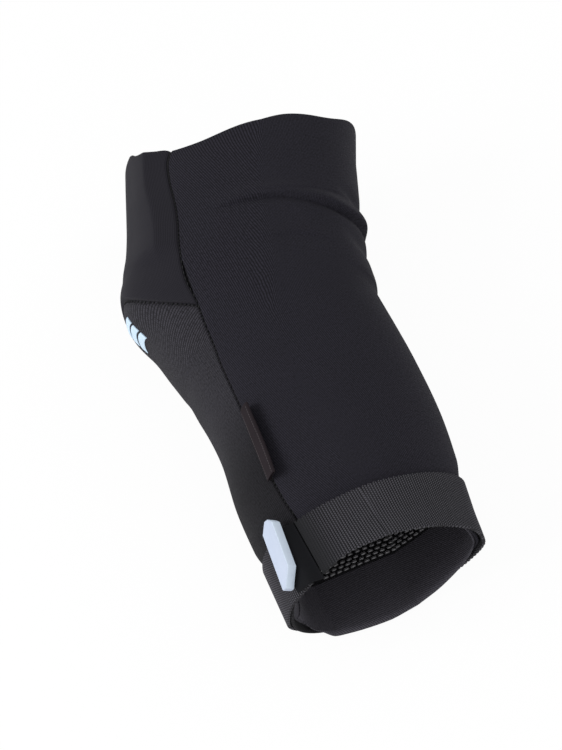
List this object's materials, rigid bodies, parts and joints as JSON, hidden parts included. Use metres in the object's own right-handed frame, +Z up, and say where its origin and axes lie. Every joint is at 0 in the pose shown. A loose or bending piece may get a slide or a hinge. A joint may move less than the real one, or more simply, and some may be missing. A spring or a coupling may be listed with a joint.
{
  "type": "elbow pad",
  "caption": "Pull-on knit sleeve elbow pad, pre-bent, with a padded outer panel, a ribbed elastic forearm strap closed by hook and loop, a pull tab and an inner grip tape.",
  "frame": {"origin": "on the floor, under the middle of the outline seen from above", "axes": "+Z up, away from the side the pad lies on; +Y from the forearm end towards the upper arm end; -X the padded side, +X the crook of the elbow"},
  "size_m": [0.145, 0.2498, 0.0832],
  "materials": {
    "sleeve_knit": "fine matt knit",
    "panel_knit": "fine matt knit",
    "pad_knit": "coarse abrasion-proof knit",
    "pad_foam": "matt moulded foam",
    "lining_cloth": "matt",
    "webbing": "ribbed elastic",
    "smooth_strap": "smooth",
    "hook_loop": "hook and loop",
    "tab_rubber": "satin",
    "grip_rubber": "glossy",
    "tape": "matt elastic",
    "label_tape": "satin woven",
    "patch_rubber": "satin"
  },
  "bodies": {
    "forearm": {"back_panel_forearm": "sleeve_knit", "back_panel_elbow": "sleeve_knit", "front_stretch_panel": "panel_knit", "pad_cover": "pad_knit", "pad_insert": "pad_foam", "pocket_lining": "lining_cloth", "pad_top_seam": "tape", "near_seam_forearm": "tape", "far_seam_forearm": "tape", "cuff_facing": "sleeve_knit", "cuff_grip_tape": "tape", "cuff_grip_bars": "grip_rubber", "strap_band": "webbing", "loop_patch": "hook_loop", "elbow_patch": "patch_rubber"},
    "upper_arm": {"back_panel_upper": "sleeve_knit", "front_upper_panel": "panel_knit", "near_seam_upper": "tape", "far_seam_upper": "tape", "top_grip_band": "tape"},
    "strap_flap": {"strap_end": "smooth_strap", "hook_patch": "hook_loop", "pull_tab": "tab_rubber"},
    "label": {"side_label": "label_tape"}
  },
  "joints": [
    {"name": "elbow_flex", "type": "hinge", "parent": "forearm", "child": "upper_arm", "pos_m": [-0.01471, 0.02425, 0.043], "axis": [0, 0, -1], "range_deg": [-20, 60], "stiffness_Nm_per_rad": 0.05, "deforming": ["back_panel_elbow", "front_stretch_panel"]},
    {"name": "strap_peel", "type": "hinge", "parent": "forearm", "child": "strap_flap", "pos_m": [-0.04843, -0.10388, 0.06578], "axis": [-0.0288, 0.9994, -0.0201], "range_deg": [0, 110]},
    {"name": "label_flip", "type": "hinge", "parent": "forearm", "child": "label", "pos_m": [-0.04903, -0.04533, 0.0674], "axis": [0.0894, 0.9957, 0.023], "range_deg": [-130, 10], "stiffness_Nm_per_rad": 0.001}
  ]
}
